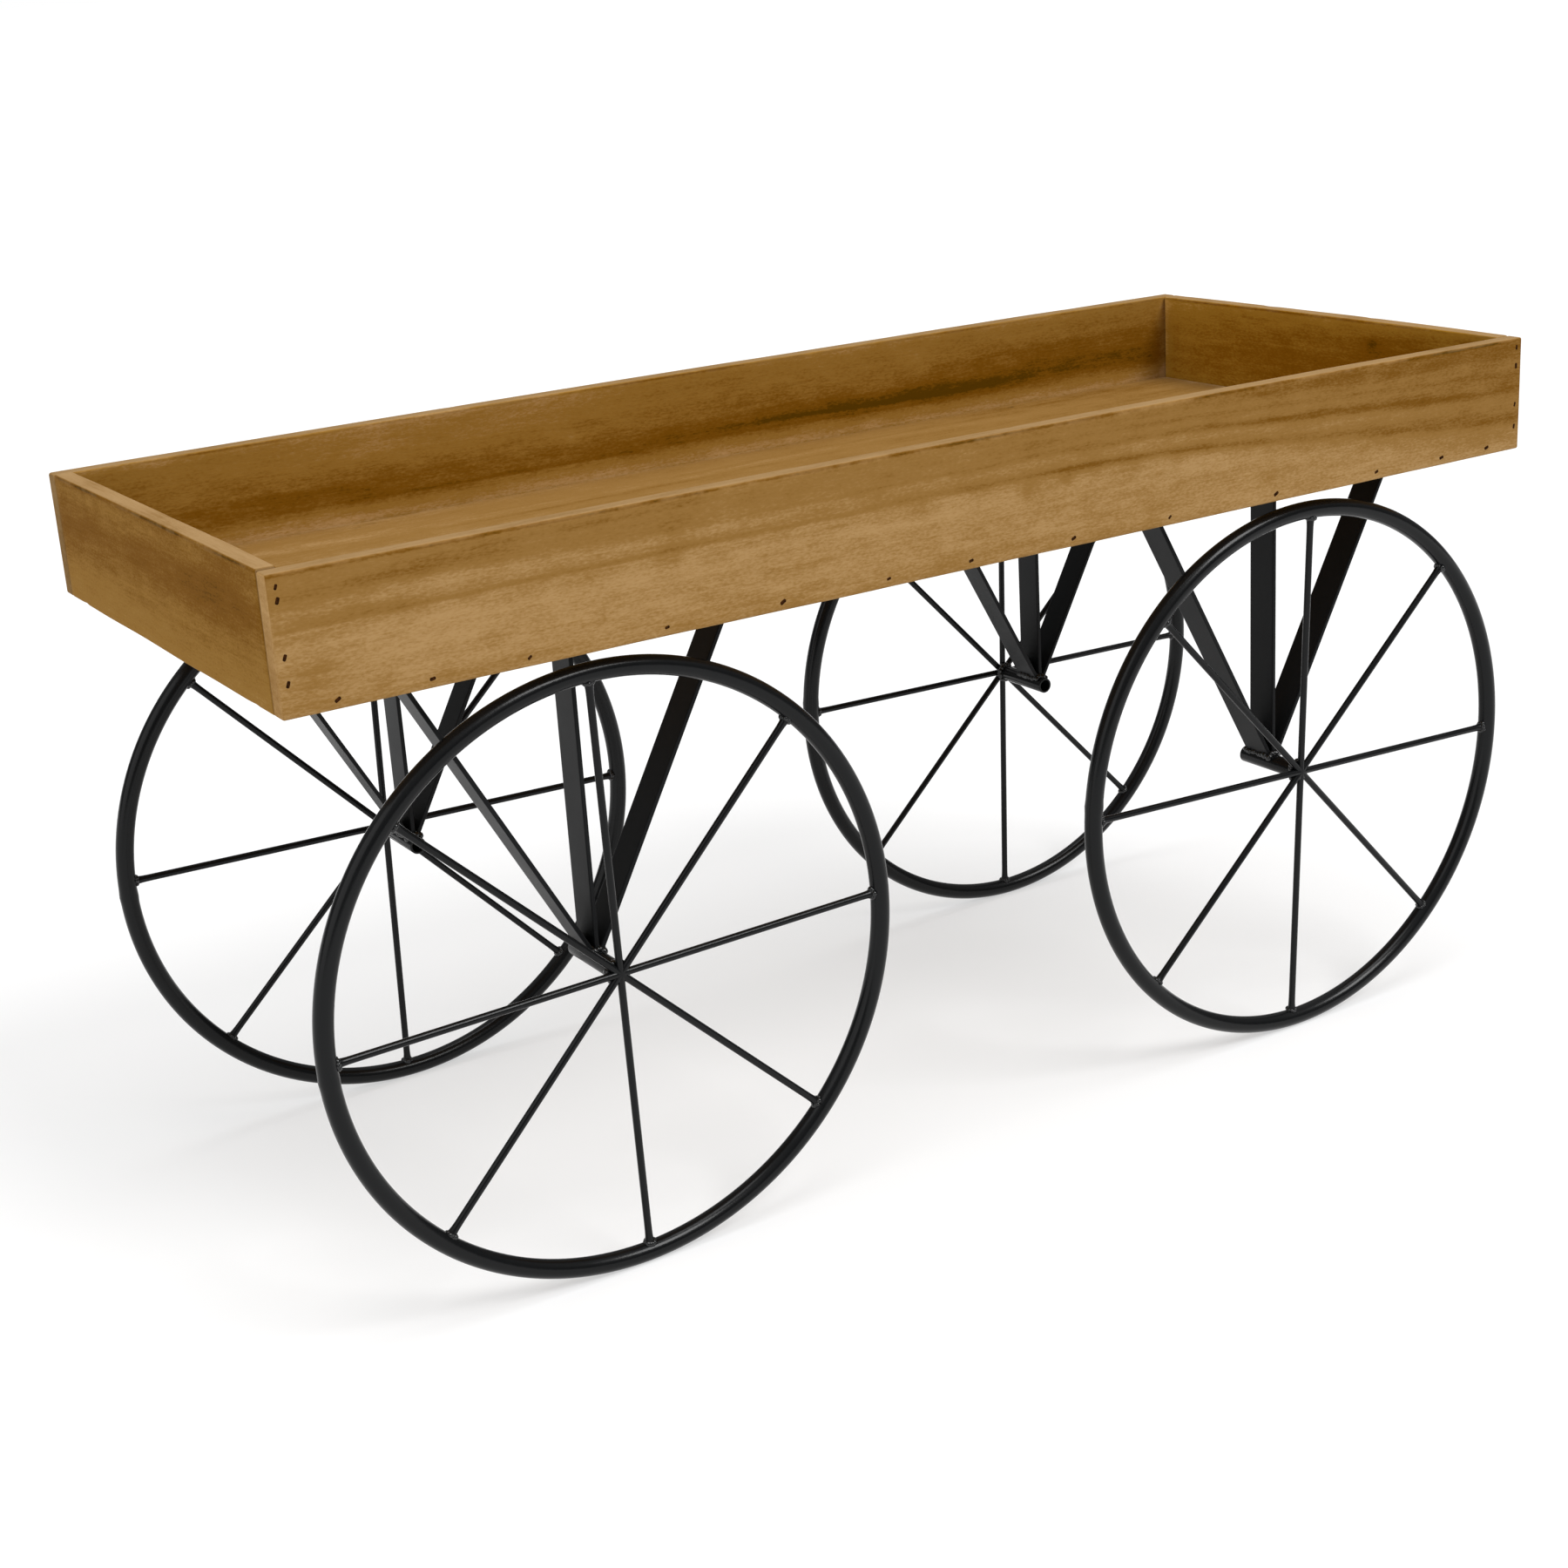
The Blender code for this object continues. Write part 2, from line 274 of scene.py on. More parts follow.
wood = {
    "tones": [(0.0, (176, 140, 92)), (0.42, (146, 108, 56)), (0.8, (118, 78, 22)), (1.0, (86, 58, 8))],
    # the inside tones have less blue: painted warm bounce light on the faces in the tray's shade
    "insideBounceTones": [(0.0, (176, 140, 92)), (0.42, (146, 108, 46)), (0.8, (118, 77, 12)), (1.0, (86, 58, 4))],
    "topTones": [(0.0, (188, 152, 104)), (1.0, (150, 112, 60))],
    # the last of these colours is the painted shade in the joints between the boards
    "endGrain": (178, 142, 94), "endGrainDark": (128, 90, 38), "seamShadeColour": (66, 42, 12),
    # how much each layer of the figure darkens the faces, top edges and ends, or stands up as relief
    "faceShares": {"mottle": 0.36, "curl": 0.2, "lines": 0.28, "speckle": 0.46, "pores": 0.07},
    "topBase": 0.25, "topShares": {"lines": 0.7, "soak": 0.9, "mottle": 0.5, "speckle": 0.4},
    "endBase": 0.28, "endShares": {"arcs": 0.05, "openPores": 0.8, "soak": 1.2, "mottle": 0.8},
    "reliefShares": {"lines": 0.6, "pores": -0.5, "mottle": 0.5, "speckle": 0.25},
    "relief": 0.3, "reliefHeight": 0.0006, "coarseShare": 0.8,
    # how far the rings stray from straight lines on the faces and from arcs at the ends
    "ringStray": {"wander": 0.08, "waver": 0.025}, "arcStray": {"wander": 0.03, "waver": 0.010},
    "arcScale": 1100.0, "poreScale": 700.0, "pithAside": 0.011, "pithBelow": 0.055,
    # the dark line under the top edge, the painted shade at the joints and the bare edges
    "edgeLineDarkness": 0.42, "edgeDepth": 0.0016, "edgeReach": 0.0011,
    "seamReach": 0.001, "seamShadeStray": 0.0014,
    "worn": 0.25, "wornReach": 0.0018, "wornLeast": 0.3, "wornStray": 1.2, "rubScale": 60.0,
    # where each mask starts and where it is full
    "masks": {
        "curl": (-0.06, 0.22), "pores": (0.15, 0.24), "edge": (-0.2, 0.12), "rub": (0.36, 0.62),
        "inside": (0.3, 0.7), "top": (0.6, 0.95), "end": (0.55, 0.85)},
    "ior": 1.05, "roughness": 0.55, "roughShares": {"fibre": 0.12, "atEnd": 0.16, "mottle": 0.08},
}

# noise in the wood: scale along, up and through the board, offset, detail and roughness
figure = {
    "wander": (3, 6, 6, 0, 2, 0.5),
    "waver": (16, 22, 12, 5, 2, 0.5),
    "fade": (6, 50, 20, 9, 3, 0.5),
    "soak": (9, 30, 30, 13, 3, 0.5),
    "mottle": (42, 85, 60, 17, 4, 0.65),
    "fibre": (38, 560, 560, 21, 3, 0.6),
    "coarse": (12, 170, 170, 25, 3, 0.5),
    "curl": (85, 17, 30, 29, 3, 0.5),
    "curlPlaces": (5, 12, 8, 33, 2, 0.5),
    "speckle": (330, 900, 900, 37, 2, 0.5),
    "pores": (80, 1500, 1500, 41, 2, 0.5),
}
edges = {
    "radius": 0.0016, "wander": 0.55, "steps": 5, "swell": 0.00022,
    "swellAlong": 7.0, "swellAcross": 30.0, "driftAlong": 14.0, "driftApart": 9.0,
    "dents": 7, "dentReach": 0.004, "stationPitch": 0.007, "facePitch": 0.008,
    "endRound": 1.2, "leastRadius": 0.00015,
}


def boardBox(board):
    low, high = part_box(board["node"])
    return low, high, (low + high) / 2, (high - low) / 2


def stained(colour, stain):
    # stain is one share for all three colours or a share for each
    shares = stain if isinstance(stain, tuple) else (stain,) * 3
    return tuple(value * share for value, share in zip(screenColour(*colour), shares)) + (1.0,)


def stainedWood(sheet, tones, stain, darkness):
    stops = [(position, stained(tone, stain)) for position, tone in tones]
    return sheet.node("ShaderNodeValToRGB", {"Fac": darkness}, stops=stops)


def mixed(base, shares, layers):
    # base and the layers added up, each times its share
    for layer, share in shares.items():
        base = base + layers[layer] * share
    return base


def figureLayers(sheet, board, run, height, through):
    # noise stretched along the board, shifted so that no two boards share it
    grain = {}
    for layer, (runScale, heightScale, throughScale, offset, detail, roughness) in figure.items():
        stretched = sheet.join(
            run * runScale + offset, height * heightScale, through * throughScale + board["seed"])
        grain[layer] = sheet.cloud(stretched, detail=detail, roughness=roughness) - 0.5
    grain["lines"] = grain["fibre"] + grain["coarse"] * wood["coarseShare"]
    grain["curl"] = grain["curl"] * sheet.smooth(grain["curlPlaces"], *wood["masks"]["curl"])
    grain["pores"] = sheet.smooth(grain["pores"], *wood["masks"]["pores"])
    return grain


def markedRings(sheet, board, run, across, grain):
    # growth rings, bent towards one end and never quite straight, with their streaks and patches; the
    # patches that lighten the wood in the tray's back right corner are painted light
    bend = sheet.smooth(run, *board["bend"])
    straight = mixed(across, wood["ringStray"], grain)
    ring = (straight - bend * board["drop"]) / (1.0 + bend * board["stretch"])
    dark = sheet.node("ShaderNodeValToRGB", {"Fac": ring}, stops=board["rings"])
    for marks, position in ((board["streaks"], ring), (board["patches"], straight)):
        for runAt, acrossAt, runReach, acrossReach, strength in marks:
            nearness = sheet.bell((run - runAt) / runReach) * sheet.bell((position - acrossAt) / acrossReach)
            dark = dark + nearness * (strength + grain["fade"] * abs(strength))
    return dark


def endGrain(sheet, board, place, through, height, pithPlace, grain):
    # faint rings round a pith below the board, with open pores
    pith = sheet.node(
        "ShaderNodeVectorMath", {0: sheet.join(through, height, 0.0), 1: pithPlace},
        output="Value", operation="DISTANCE")
    grain["arcs"] = sheet.maths("SINE", mixed(pith, wood["arcStray"], grain) * wood["arcScale"])
    grain["openPores"] = sheet.cloud(place, scale=wood["poreScale"], detail=3.0) - 0.5
    dark = sheet.clamp(mixed(wood["endBase"], wood["endShares"], grain))
    stain = board["endStain"]
    return sheet.tint(dark, stained(wood["endGrain"], stain), stained(wood["endGrainDark"], stain))


def woodMaterial(name, board):
    low, high, middle, half = boardBox(board)
    along = board["along"]
    masks = wood["masks"]
    isFloor = half.z < half.y and half.z < half.x
    material, sheet, shader = newMaterial(name, {"IOR": wood["ior"]})
    place = sheet.place()
    x, y, z = sheet.parts(place)
    normalX, normalY, normalZ = sheet.normal()
    run, facing, sideways = (y, normalY, normalX) if along else (x, normalX, normalY)
    if isFloor:
        across, height, through = (y - low.y) / (high.y - low.y), y, z
    else:
        risen = board["rise"] + (1.0 - (run / half[along]) * (run / half[along])) * board["crown"]
        across, height, through = (high.z + risen - z) / (high.z - low.z), z, (x if along else y)
    grain = figureLayers(sheet, board, run, height, through)

    # stain that soaked in unevenly, in blotches, clouds, fibres and short marks across them
    shares = {"soak": board["blotch"], **wood["faceShares"]}
    dark = mixed(markedRings(sheet, board, run, across, grain), shares, grain)
    if not isFloor:
        # a dark line just under the top edge
        lineUnderTop = sheet.bell((across * (high.z - low.z) - wood["edgeDepth"]) / wood["edgeReach"])
        dark = dark + lineUnderTop * wood["edgeLineDarkness"] * sheet.smooth(grain["soak"], *masks["edge"])
    dark = sheet.clamp(dark)

    colour = stainedWood(sheet, wood["tones"], board["stain"], dark)
    if not isFloor:
        # painted light: the faces inside the tray, which lie in its shade, get lighter, warmer tones with
        # less blue, standing in for warm light bounced about inside the tray; the sawn top edges took less
        # stain
        outward = math.copysign(1.0, middle[1 - along])
        inside = sheet.smooth(sideways * -outward, *masks["inside"])
        inner = stainedWood(sheet, wood["insideBounceTones"], board["insideBounceTint"], dark)
        topDark = sheet.clamp(mixed(wood["topBase"], wood["topShares"], grain))
        top = stainedWood(sheet, wood["topTones"], board["topStain"], topDark)
        colour = sheet.tint(sheet.smooth(normalZ, *masks["top"]), sheet.tint(inside, colour, inner), top)
    grain["atEnd"] = sheet.smooth(sheet.maths("ABSOLUTE", facing), *masks["end"])
    pithPlace = (middle[1 - along] + wood["pithAside"], middle.z - wood["pithBelow"], 0.0)
    ends = endGrain(sheet, board, place, through, height, pithPlace, grain)
    colour = sheet.tint(grain["atEnd"], colour, ends)

    # bare, lighter wood along the arrises: the second smallest distance to the faces
    gaps = [
        half[axis] - sheet.maths("ABSOLUTE", position - middle[axis])
        for axis, position in enumerate((x, y, z))]
    nearer = sheet.maths("MINIMUM", gaps[0], gaps[1])
    farther = sheet.maths("MAXIMUM", gaps[0], gaps[1])
    edge = sheet.maths("MAXIMUM", nearer, sheet.maths("MINIMUM", farther, gaps[2]))
    rub = sheet.cloud(place, scale=wood["rubScale"], detail=4.0)
    reach = wood["wornReach"] * (wood["wornLeast"] + rub * wood["wornStray"])
    worn = sheet.clamp(1.0 - edge / reach) * wood["worn"] * sheet.smooth(rub, *masks["rub"])
    colour = sheet.tint(worn, colour, stained(wood["endGrain"], board["endStain"]))
    if board["seam"]:
        # painted shade: the wood darkens towards the joints where this board butts against its neighbours
        reach = wood["seamReach"] + rub * wood["seamShadeStray"]
        seam = sheet.clamp(1.0 - gaps[along] / reach) * board["seam"]
        colour = sheet.tint(seam, colour, screenColour(*wood["seamShadeColour"]))

    roughness = mixed(wood["roughness"], wood["roughShares"], grain)
    relief = sheet.bump(wood["relief"], wood["reliefHeight"], mixed(0.0, wood["reliefShares"], grain))
    feed(sheet, shader, {"Base Color": colour, "Roughness": roughness, "Normal": relief})
    return material


def addObject(name, data, material=None):
    made = bpy.data.objects.new(name, data)
    bpy.context.scene.collection.objects.link(made)
    if material:
        data.materials.append(material)
    return made


def smoothSides(mesh, angle=38):
    mesh.shade_smooth()
    mesh.set_sharp_from_angle(angle=math.radians(angle))


def skin(name, rings, ends=True):
    # a closed body through rings that have the same number of points
    build = bmesh.new()
    rows = [[build.verts.new(point) for point in ring] for ring in rings]
    count = len(rows[0])
    pairs = list(zip(rows, rows[1:])) if ends else list(zip(rows, rows[1:] + rows[:1]))
    for first, second in pairs:
        for i in range(count):
            j = (i + 1) % count
            build.faces.new((first[i], first[j], second[j], second[i]))
    if ends:
        build.faces.new(rows[0])
        build.faces.new(rows[-1])
    bmesh.ops.recalc_face_normals(build, faces=build.faces)
    mesh = bpy.data.meshes.new(name)
    build.to_mesh(mesh)
    build.free()
    smoothSides(mesh)
    return mesh


def section(halfA, halfB, radii, steps, divisionsA, divisionsB):
    # a rounded rectangle as (a, b, normal a, normal b), counter-clockwise from the +a side
    arcs = []
    for corner, (radius, signs) in enumerate(zip(radii, ((1, 1), (-1, 1), (-1, -1), (1, -1)))):
        centreA, centreB = signs[0] * (halfA - radius), signs[1] * (halfB - radius)
        angles = [math.radians(90 * corner + 90 * step / steps) for step in range(steps + 1)]
        arcs.append([
            (centreA + radius * math.cos(angle), centreB + radius * math.sin(angle),
             math.cos(angle), math.sin(angle))
            for angle in angles])
    points = []
    for arc, following, divisions in zip(arcs, arcs[1:] + arcs[:1], (divisionsA, divisionsB) * 2):
        points += arc
        (a, b, *normal), (nextA, nextB, *_) = arc[-1], following[0]
        # a flat side, with its first and last points close to the corners
        for share in [0.04] + [step / divisions for step in range(1, divisions)] + [0.96]:
            points.append((a + (nextA - a) * share, b + (nextB - b) * share, *normal))
    return points


def boardMesh(name, board):
    middle, half = boardBox(board)[2:]
    along = board["along"]
    axisA = 1 - along
    chance = Random(board["seed"])
    length = half[along]
    dents = [
        (chance.uniform(-length, length), chance.randrange(4), chance.uniform(0.3, 1.0))
        for _ in range(edges["dents"])]

    def cornerRadii(run, inset):
        radii = []
        for corner in range(4):
            drift = noise.noise(Vector((
                run * edges["driftAlong"], corner * edges["driftApart"], board["seed"])))
            radius = edges["radius"] * (1.0 + edges["wander"] * drift)
            for dentRun, dentCorner, depth in dents:
                if dentCorner == corner:
                    nearness = math.exp(-((run - dentRun) / edges["dentReach"]) ** 2)
                    radius += edges["radius"] * depth * nearness
            radii.append(max(radius - inset, edges["leastRadius"]))
        return radii

    # places along the board, with how far the section draws in there
    endRound = edges["radius"] * edges["endRound"]
    ease = [
        (length - endRound + endRound * math.sin(angle), endRound - endRound * math.cos(angle))
        for angle in (math.radians(90 * step / edges["steps"]) for step in range(edges["steps"] + 1))]
    ease.append((length, endRound * 1.4))
    plain = max(8, round(2 * length / edges["stationPitch"]))
    inner = [
        (-length + endRound + (2 * length - 2 * endRound) * step / plain, 0.0)
        for step in range(1, plain)]
    stations = [(-run, inset) for run, inset in reversed(ease)] + inner + ease

    rings = []
    for run, inset in stations:
        radii = cornerRadii(run, inset)
        shape = section(
            half[axisA] - inset, half.z - inset, radii, edges["steps"],
            max(2, round(2 * half[axisA] / edges["facePitch"])),
            max(2, round(2 * half.z / edges["facePitch"])))
        ring = []
        for a, b, normalA, normalB in shape:
            swell = edges["swell"] * noise.noise(Vector((
                run * edges["swellAlong"], a * edges["swellAcross"] + board["seed"],
                b * edges["swellAcross"])))
            lift = board["rise"] + board["crown"] * (1 - (run / length) ** 2)
            lift *= ((b + half.z) / (2 * half.z)) ** 2
            point = Vector((0, 0, middle.z + b + normalB * swell + lift))
            point[along] = middle[along] + run
            point[axisA] = middle[axisA] + a + normalA * swell
            ring.append(point)
        rings.append(ring)
    return skin(name, rings)


for boardName, board in boards.items():
    pieceName = "tray_floor_panel" if boardName == "floor" else f"tray_{boardName}_board"
    piece = addObject(
        pieceName, boardMesh(pieceName, board), woodMaterial(f"stained_wood_{boardName}", board))
    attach(piece, "root")
    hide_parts(board["node"])
print("boards made")


paint = {
    "colour": (13, 14, 15), "dustColour": (44, 43, 42), "dust": 0.08, "gloss": 0.19,
    "roughness": 0.22, "wander": 0.14, "fineWander": 0.06,
    "peel": 0.10, "peelHeight": 0.0003, "peelScale": 700.0, "patchScale": 26.0, "speckScale": 1900.0,
}


def paintMaterial(name, look):
    material, sheet, shader = newMaterial(name, {"Specular IOR Level": look["gloss"]})
    place = sheet.place()
    broad = sheet.cloud(place, scale=look["patchScale"], detail=3.0)
    fine = sheet.cloud(place, scale=look["peelScale"])
    specks = sheet.smooth(sheet.cloud(place, scale=look["speckScale"]), 0.70, 0.80)
    upward = sheet.smooth(sheet.normal()[2], 0.2, 1.0)
    dusty = sheet.clamp((upward * 0.7 + 0.3) * sheet.smooth(broad, 0.35, 0.75) + specks * 0.5)
    colour = sheet.tint(
        dusty * look["dust"], screenColour(*look["colour"]), screenColour(*look["dustColour"]))
    roughness = look["roughness"] + (broad - 0.5) * look["wander"] + (fine - 0.5) * look["fineWander"]
    relief = sheet.bump(look["peel"], look["peelHeight"], fine)
    feed(sheet, shader, {"Base Color": colour, "Roughness": roughness, "Normal": relief})
    return material


barPaint = paintMaterial("black_paint_on_bar", paint)
legPaint = paintMaterial(
    "black_paint_on_flat_bar",
    {**paint, "colour": (19, 20, 21), "roughness": 0.40, "gloss": 0.11, "peelScale": 900.0})
weldPaint = paintMaterial(
    "black_paint_on_weld", {**paint, "roughness": 0.20, "gloss": 0.48, "peel": 0.22, "peelScale": 1300.0})


def newTree(name, sockets):
    sockets["Material"] = "Material"
    tree = bpy.data.node_groups.new(name, "GeometryNodeTree")
    tree.interface.new_socket(name="Geometry", in_out="OUTPUT", socket_type="NodeSocketGeometry")
    for label, kind in sockets.items():
        tree.interface.new_socket(name=label, in_out="INPUT", socket_type="NodeSocket" + kind)
    sheet = Sheet(tree)
    entry = sheet.node("NodeGroupInput")
    return sheet, {label: entry.out(label) for label in sockets}


def endTree(sheet, given, geometry):
    real = sheet.node("GeometryNodeRealizeInstances", {"Geometry": geometry})
    painted = sheet.node("GeometryNodeSetMaterial", {"Geometry": real, "Material": given["Material"]})
    sheet.node("NodeGroupOutput", {"Geometry": painted})
    return sheet.tree


def grow(name, tree, values):
    # runs a tree and keeps its result as a plain mesh
    seedling = addObject(name + "_seedling", bpy.data.meshes.new(name + "_seedling"))
    growth = seedling.modifiers.new("growth", "NODES")
    growth.node_group = tree
    for item in tree.interface.items_tree:
        if item.in_out == "INPUT":
            growth[item.identifier] = values[item.name]
    seedling.update_tag()
    shape = seedling.evaluated_get(bpy.context.evaluated_depsgraph_get())
    mesh = bpy.data.meshes.new_from_object(shape)
    mesh.name = name
    bpy.data.meshes.remove(seedling.data)
    smoothSides(mesh)
    return addObject(name, mesh)


def roundBar(sheet, path, radius, sides, thicken):
    outline = sheet.node(
        "GeometryNodeCurvePrimitiveCircle", {"Resolution": sides, "Radius": radius})
    return sheet.node(
        "GeometryNodeCurveToMesh",
        {"Curve": path, "Profile Curve": outline, "Scale": thicken, "Fill Caps": True})


def rimTree():
    # a bar bent into a ring, with the low ridge of its butt weld halfway along
    sheet, given = newTree("rim", {
        "Hub": "Vector", "Outer Radius": "Float", "Bar": "Float", "Seam Angle": "Float",
        "Seam Height": "Float", "Seam Reach": "Float"})
    centreRadius = given["Outer Radius"] - given["Bar"] * 0.5
    path = sheet.node(
        "GeometryNodeCurvePrimitiveCircle",
        {"Resolution": wheel["rimSteps"], "Radius": centreRadius})
    share = sheet.node("GeometryNodeSplineParameter")
    fromSeam = (share - 0.5) * centreRadius * (2 * math.pi)
    thicken = 1.0 + sheet.bell(fromSeam / given["Seam Reach"]) * given["Seam Height"]
    ring = roundBar(sheet, path, given["Bar"] * 0.5, wheel["rimSides"], thicken)
    tilt = sheet.join(math.pi / 2, math.pi / 2 - given["Seam Angle"], 0.0)
    placed = sheet.node(
        "GeometryNodeTransform", {"Geometry": ring, "Translation": given["Hub"], "Rotation": tilt})
    return endTree(sheet, given, placed)


def spokeTree():
    # straight bars from the hub to the rim, a little fuller where they are welded
    sheet, given = newTree("spokes", {
        "Hub": "Vector", "Count": "Int", "Length": "Float", "Bar": "Float", "Turn": "Float",
        "Rim Flare": "Float", "Hub Flare": "Float", "Flare Reach": "Float"})
    tip = sheet.join(given["Length"], 0.0, 0.0)
    line = sheet.node("GeometryNodeCurvePrimitiveLine", {"End": tip})
    path = sheet.node(
        "GeometryNodeResampleCurve", {"Curve": line, "Count": wheel["spokeSteps"]}, mode="COUNT")
    travelled = sheet.node("GeometryNodeSplineParameter", output="Length")
    left = given["Length"] - travelled
    atRim = sheet.maths("EXPONENT", -(left / given["Flare Reach"])) * given["Rim Flare"]
    atHub = sheet.maths("EXPONENT", -(travelled / given["Flare Reach"])) * given["Hub Flare"]
    bar = roundBar(sheet, path, given["Bar"] * 0.5, wheel["spokeSides"], 1.0 + atRim + atHub)
    spots = sheet.node(
        "GeometryNodePoints", {"Count": given["Count"], "Position": given["Hub"]})
    step = (2 * math.pi) / given["Count"]
    swing = sheet.node("GeometryNodeInputIndex") * step + given["Turn"]
    turned = sheet.node(
        "FunctionNodeAxisAngleToRotation", {"Axis": (0, 1, 0), "Angle": -swing})
    spokes = sheet.node(
        "GeometryNodeInstanceOnPoints",
        {"Points": spots, "Instance": bar, "Rotation": turned})
    return endTree(sheet, given, spokes)


def weldTree():
    # ripples laid one over the next along a path
    sheet, given = newTree("weld_bead", {
        "Path": "Object", "Ripple Pitch": "Float", "Width": "Float", "Height": "Float",
        "Unevenness": "Float", "Seed": "Int"})
    path = sheet.node(
        "GeometryNodeResampleCurve",
        {"Curve": sheet.shapeOf(given["Path"]), "Length": given["Ripple Pitch"]}, mode="LENGTH")
    spots = sheet.node("GeometryNodeCurveToPoints", {"Curve": path}, mode="EVALUATED")
    ripple = sheet.node(
        "GeometryNodeMeshUVSphere",
        {"Segments": weld["rippleSides"], "Rings": weld["rippleRings"], "Radius": 0.5})
    wobble = sheet.node(
        "FunctionNodeRandomValue",
        {"Min": (-1, -1, -1), "Max": (1, 1, 1), "Seed": given["Seed"]}, data_type="FLOAT_VECTOR")
    strayed = sheet.node(
        "ShaderNodeVectorMath",
        {0: wobble, "Scale": given["Width"] * given["Unevenness"] * weld["stray"]}, operation="SCALE")
    laid = sheet.node("GeometryNodeSetPosition", {"Geometry": spots, "Offset": strayed})
    fullness = sheet.chance(1.0 - given["Unevenness"], 1.0 + given["Unevenness"], given["Seed"] + 7)
    size = sheet.join(
        given["Width"] * fullness, given["Width"] * fullness, given["Height"] * fullness)
    beads = sheet.node(
        "GeometryNodeInstanceOnPoints",
        {"Points": laid, "Instance": ripple, "Rotation": spots.out("Rotation"), "Scale": size})
    return endTree(sheet, given, beads)


def fastenerTree():
    # one fastener on every vertex of a guide, facing the way that the vertex says
    sheet, given = newTree("fasteners", {
        "Guide": "Object", "Fastener": "Object", "Size Spread": "Float", "Turn Spread": "Float",
        "Seed": "Int"})
    shape = sheet.shapeOf(given["Fastener"])
    spots = sheet.node("GeometryNodeMeshToPoints", {"Mesh": sheet.shapeOf(given["Guide"])})
    facing = sheet.node(
        "GeometryNodeInputNamedAttribute", {"Name": "facing"}, data_type="FLOAT_VECTOR")
    spin = sheet.node("GeometryNodeInputNamedAttribute", {"Name": "spin"}, data_type="FLOAT")
    aimed = sheet.node("FunctionNodeAlignRotationToVector", {"Vector": facing}, axis="Z")
    extra = sheet.chance(-given["Turn Spread"], given["Turn Spread"], given["Seed"])
    turn = sheet.node(
        "FunctionNodeAxisAngleToRotation", {"Axis": (0, 0, 1), "Angle": spin + extra})
    turned = sheet.node(
        "FunctionNodeRotateRotation", {"Rotation": aimed, "Rotate By": turn}, rotation_space="LOCAL")
    size = sheet.chance(1.0 - given["Size Spread"], 1.0 + given["Size Spread"], given["Seed"] + 3)
    placed = sheet.node(
        "GeometryNodeInstanceOnPoints",
        {"Points": spots, "Instance": shape, "Rotation": turned, "Scale": size})
    return endTree(sheet, given, placed)


wheels = {
    "front_left": {"turn": 1.2, "seam": 2.6},
    "front_right": {"turn": -2.2, "seam": -3.4},
    "back_left": {"turn": -1.5, "seam": 3.0},
    "back_right": {"turn": -1.5, "seam": -2.4},
}
wheel = {
    "spokes": 8, "sunkInRim": 0.0022, "rimFlare": 0.90, "hubFlare": 0.14, "flareReach": 0.0025,
    "seamHeight": 0.055, "seamReach": 0.0024,
    "rimSteps": 224, "rimSides": 28, "spokeSteps": 90, "spokeSides": 18,
}
rimGrowth = rimTree()
spokeGrowth = spokeTree()


def wheelSizes(name):
    low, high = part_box(name + "_rim")
    hub = (low + high) / 2
    spokeLow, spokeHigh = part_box(name + "_spoke_1")
    stubLow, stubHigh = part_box(name + "_stub_axle")
    return {
        "hub": hub, "radius": (high.z - low.z) / 2, "rimBar": high.y - low.y,
        "spokeBar": spokeHigh.y - spokeLow.y, "stubRadius": (stubHigh.x - stubLow.x) / 2}


for wheelName, own in wheels.items():
    sizes = wheelSizes(wheelName)
    rim = grow(wheelName + "_wheel_rim", rimGrowth, {
        "Hub": sizes["hub"], "Outer Radius": sizes["radius"], "Bar": sizes["rimBar"],
        "Seam Angle": math.radians(90 + own["turn"] + own["seam"]),
        "Seam Height": wheel["seamHeight"], "Seam Reach": wheel["seamReach"], "Material": barPaint})
    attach(rim, "root")
    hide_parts(wheelName + "_rim")
    spokes = grow(wheelName + "_wheel_spokes", spokeGrowth, {
        "Hub": sizes["hub"], "Count": wheel["spokes"],
        "Length": sizes["radius"] - sizes["rimBar"] + wheel["sunkInRim"],
        "Bar": sizes["spokeBar"], "Turn": math.radians(own["turn"]),
        "Rim Flare": wheel["rimFlare"], "Hub Flare": wheel["hubFlare"],
        "Flare Reach": wheel["flareReach"], "Material": barPaint})
    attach(spokes, "root")
    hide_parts(*[f"{wheelName}_spoke_{step + 1}" for step in range(wheel["spokes"])])
print("wheels made")


stub = {"wall": 0.0016, "lip": 0.0004, "sides": 56}
leg = {
    "spread": 28.3, "thickness": 0.003, "corner": 0.0006, "sunkInStub": 0.0006,
    "bend": 0.0045, "bendSteps": 9, "straightSteps": 16, "foot": 0.028, "screwFromToe": 0.011,
}


def stubMesh(name, low, high):
    # an open tube with eased lips, along Y
    radius = (high.x - low.x) / 2
    hub = (low + high) / 2
    bore = radius - stub["wall"]
    lip = stub["lip"]
    outline = []
    for end, sign in ((low.y, -1), (high.y, 1)):
        inner, outer = [], []
        for angle in (math.radians(30 * step) for step in range(4)):
            drawnIn = lip - lip * math.cos(angle)
            y = end - sign * (lip - lip * math.sin(angle))
            inner.append((bore + drawnIn, y))
            outer.append((radius - drawnIn, y))
        outline += (inner + outer[::-1]) if sign < 0 else (outer + inner[::-1])
    rings = []
    for side in range(stub["sides"]):
        angle = 2 * math.pi * side / stub["sides"]
        rings.append([
            Vector((hub.x + reach * math.cos(angle), y, hub.z + reach * math.sin(angle)))
            for reach, y in outline])
    return skin(name, rings, ends=False)


